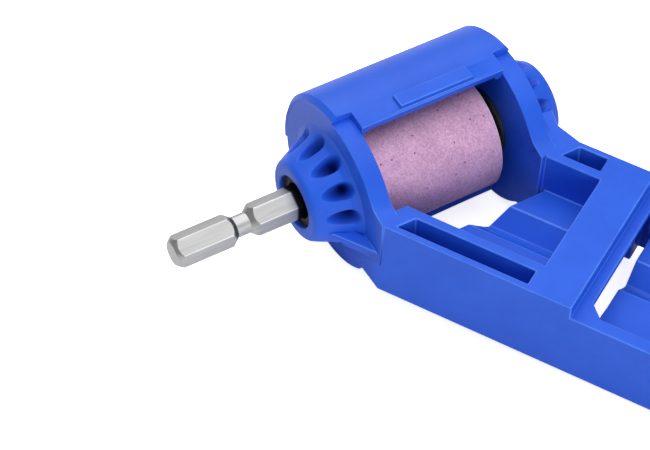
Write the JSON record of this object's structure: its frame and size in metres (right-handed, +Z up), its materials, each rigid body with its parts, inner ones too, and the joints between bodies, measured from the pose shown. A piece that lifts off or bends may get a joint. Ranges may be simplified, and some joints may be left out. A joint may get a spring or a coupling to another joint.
{
  "type": "drill bit sharpener",
  "caption": "Drill-powered bit sharpener: a hooded drum with a grinding wheel on a hex-shank spindle, and a ladder handle with a grooved trough that guides the bit.",
  "frame": {"origin": "middle of the hex shank's end face, on the wheel's axis", "axes": "+X along the handle, away from the drum; +Y across the handle, towards the far nose; +Z up, out of the trough"},
  "size_m": [0.1297, 0.0812, 0.0398],
  "materials": {
    "blue_plastic": "satin moulded plastic with a fine spark texture",
    "corundum": "open-grained vitrified abrasive, dull and gritty",
    "shank_steel": "satin drawn steel",
    "zinc_steel": "zinc plated",
    "bronze": "sintered bronze, dark with oil",
    "nylon": "dark grey nylon, low sheen",
    "blotter_paper": "plain blotting card"
  },
  "bodies": {
    "frame": {"frame": "blue_plastic", "wheel_hood": "blue_plastic", "near_bush": "bronze", "far_bush": "bronze", "near_thrust_washer": "nylon", "far_thrust_washer": "nylon"},
    "spindle": {"spindle": "shank_steel", "grinding_wheel": "corundum", "near_blotter": "blotter_paper", "near_flange": "zinc_steel", "far_blotter": "blotter_paper", "far_flange": "zinc_steel", "lock_nut": "zinc_steel"}
  },
  "joints": [
    {"name": "spindle_spin", "type": "hinge", "parent": "frame", "child": "spindle", "pos_m": [0, 0, 0], "axis": [0.515, 0.8572, 0], "continuous": true}
  ]
}
